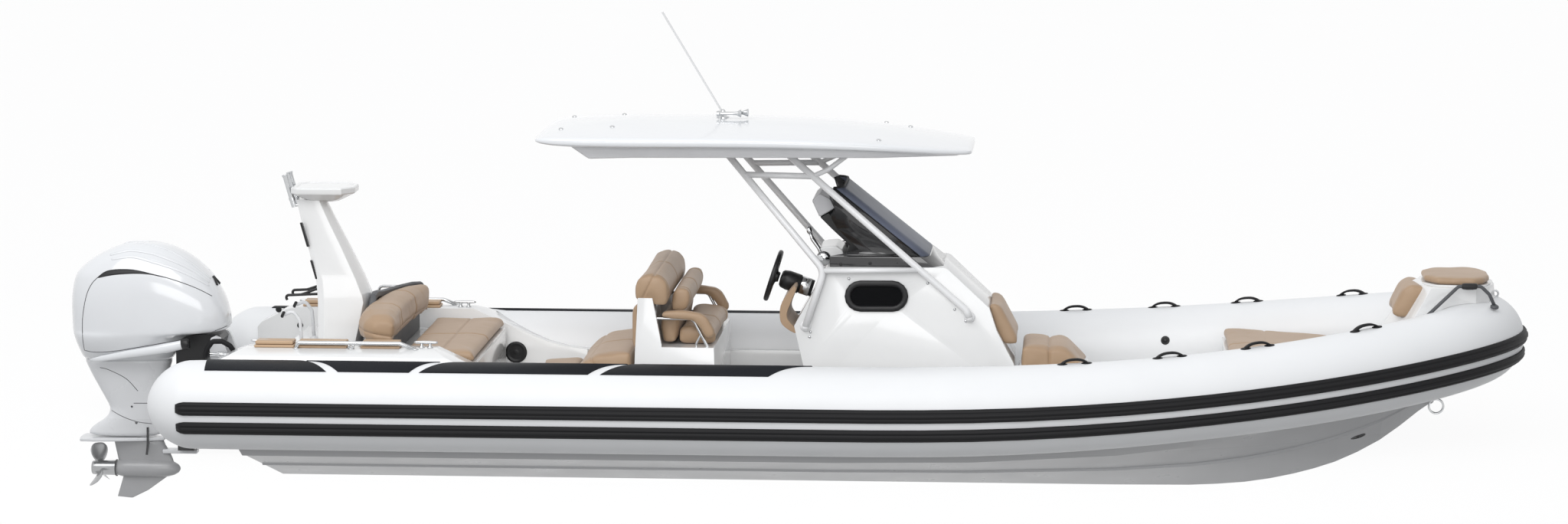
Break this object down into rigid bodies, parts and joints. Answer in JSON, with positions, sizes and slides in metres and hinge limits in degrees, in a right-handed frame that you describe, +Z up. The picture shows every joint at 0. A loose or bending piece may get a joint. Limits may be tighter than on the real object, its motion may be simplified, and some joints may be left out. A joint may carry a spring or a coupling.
{
  "type": "rigid inflatable boat",
  "caption": "Rigid inflatable boat with white tubes, centre console under a hard top, tan cushions, stern mast and a tilting outboard engine.",
  "frame": {"origin": "on the waterline, on the centreline, 110 mm ahead of the lowest corner of the transom", "axes": "+X forward to the bow, +Y to port, +Z up"},
  "size_m": [10.6158, 3.2696, 3.6262],
  "materials": {
    "tube_fabric": "semi-matt coated white tube fabric",
    "black_rubber": "black ribbed rubber",
    "gelcoat": "gloss white gelcoat on laminate",
    "hull_gelcoat": "gloss white gelcoat on laminate",
    "cushion": "tan marine vinyl",
    "teak_pad": "oiled teak",
    "stainless": "polished stainless steel",
    "white_metal": "white powder coat on aluminium tube",
    "black_plastic": "satin black",
    "glass": "grey tinted acrylic",
    "engine_white": "gloss white engine cowl",
    "engine_metal": "gloss white paint on cast aluminium",
    "grey_trim": "dark grey grained vinyl on a moulded shell",
    "prop_steel": "polished steel",
    "white_rod": "white glass-fibre rod"
  },
  "bodies": {
    "boat": {"tube_port": "tube_fabric", "tube_starboard": "tube_fabric", "rubbing_strakes": "black_rubber", "tread_strips": "black_rubber", "hull": "hull_gelcoat", "deck": "gelcoat", "tube_handles": "black_rubber", "stern_moulding": "gelcoat", "coaming_port": "gelcoat", "coaming_starboard": "gelcoat", "coaming_pads": "teak_pad", "cleats": "stainless", "stern_rails": "stainless", "mast": "gelcoat", "rod_holders": "stainless", "bench_base": "gelcoat", "bench_backrest": "cushion", "clamp_bracket": "engine_metal", "console": "gelcoat", "window_glass_starboard": "glass", "windscreen": "glass", "windscreen_base": "black_plastic", "dash": "black_plastic", "roof": "gelcoat", "roof_liner": "gelcoat", "roof_legs_port": "white_metal", "roof_legs_starboard": "white_metal", "roof_fittings": "stainless", "helm_base": "gelcoat", "helm_bolster": "cushion", "helm_cushions": "cushion", "armrest_pads": "cushion", "armrest_frames": "stainless", "lounge_cushions": "cushion", "front_seat_base": "gelcoat", "front_backrest": "cushion", "bow_locker": "gelcoat", "bow_pod": "gelcoat", "bow_eye": "stainless", "bow_rails": "black_rubber", "stem_ring": "stainless", "lean_pad": "cushion", "bench_shell": "grey_trim"},
    "swivel": {"swivel_bracket": "engine_metal"},
    "engine": {"engine_cowl": "engine_white", "engine_leg": "engine_metal", "gearcase": "engine_metal"},
    "screw": {"propeller": "prop_steel"},
    "helm_wheel": {"steering_wheel": "black_plastic"},
    "whip": {"antenna": "white_rod"},
    "door": {"console_door": "gelcoat", "window_glass_door": "glass"},
    "bench_seat": {"bench_lid": "gelcoat", "bench_cushion": "cushion"},
    "front_seat": {"front_seat_lid": "gelcoat", "front_seat_cushion": "cushion"},
    "bow_seat": {"bow_lid": "gelcoat", "bow_cushion": "cushion"},
    "pod_seat": {"pod_lid": "gelcoat", "pod_cushion": "cushion"}
  },
  "joints": [
    {"name": "engine_tilt", "type": "hinge", "parent": "boat", "child": "swivel", "pos_m": [-0.56, 0, 0.6], "axis": [0, 1, 0], "range_deg": [0, 65]},
    {"name": "engine_steer", "type": "hinge", "parent": "swivel", "child": "engine", "pos_m": [-0.8, 0, 0.4], "axis": [0, 0, 1], "range_deg": [-30, 30]},
    {"name": "propeller_spin", "type": "hinge", "parent": "engine", "child": "screw", "pos_m": [-1.438, 0, -0.38], "axis": [1, 0, 0], "continuous": true},
    {"name": "wheel_turn", "type": "hinge", "parent": "boat", "child": "helm_wheel", "pos_m": [3.518, 0, 1.103], "axis": [-0.9511, 0, 0.309], "range_deg": [-720, 720]},
    {"name": "antenna_fold", "type": "hinge", "parent": "boat", "child": "whip", "pos_m": [3.15, 0, 2.288], "axis": [0, -1, 0], "range_deg": [-30, 55]},
    {"name": "console_door_swing", "type": "hinge", "parent": "boat", "child": "door", "pos_m": [4.5425, 0.41538, 0.74], "axis": [0, 0, -1], "range_deg": [0, 95]},
    {"name": "bench_lid_lift", "type": "hinge", "parent": "boat", "child": "bench_seat", "pos_m": [0.9, 0, 0.56], "axis": [0, -1, 0], "range_deg": [0, 45]},
    {"name": "front_seat_lift", "type": "hinge", "parent": "boat", "child": "front_seat", "pos_m": [5.806, 0, 0.45], "axis": [0, 1, 0], "range_deg": [0, 80]},
    {"name": "bow_lid_lift", "type": "hinge", "parent": "boat", "child": "bow_seat", "pos_m": [7.6, 0, 0.545], "axis": [0, 1, 0], "range_deg": [0, 70]},
    {"name": "pod_lid_lift", "type": "hinge", "parent": "boat", "child": "pod_seat", "pos_m": [8.69, 0, 1.11], "axis": [0, 1, 0], "range_deg": [0, 75]}
  ]
}
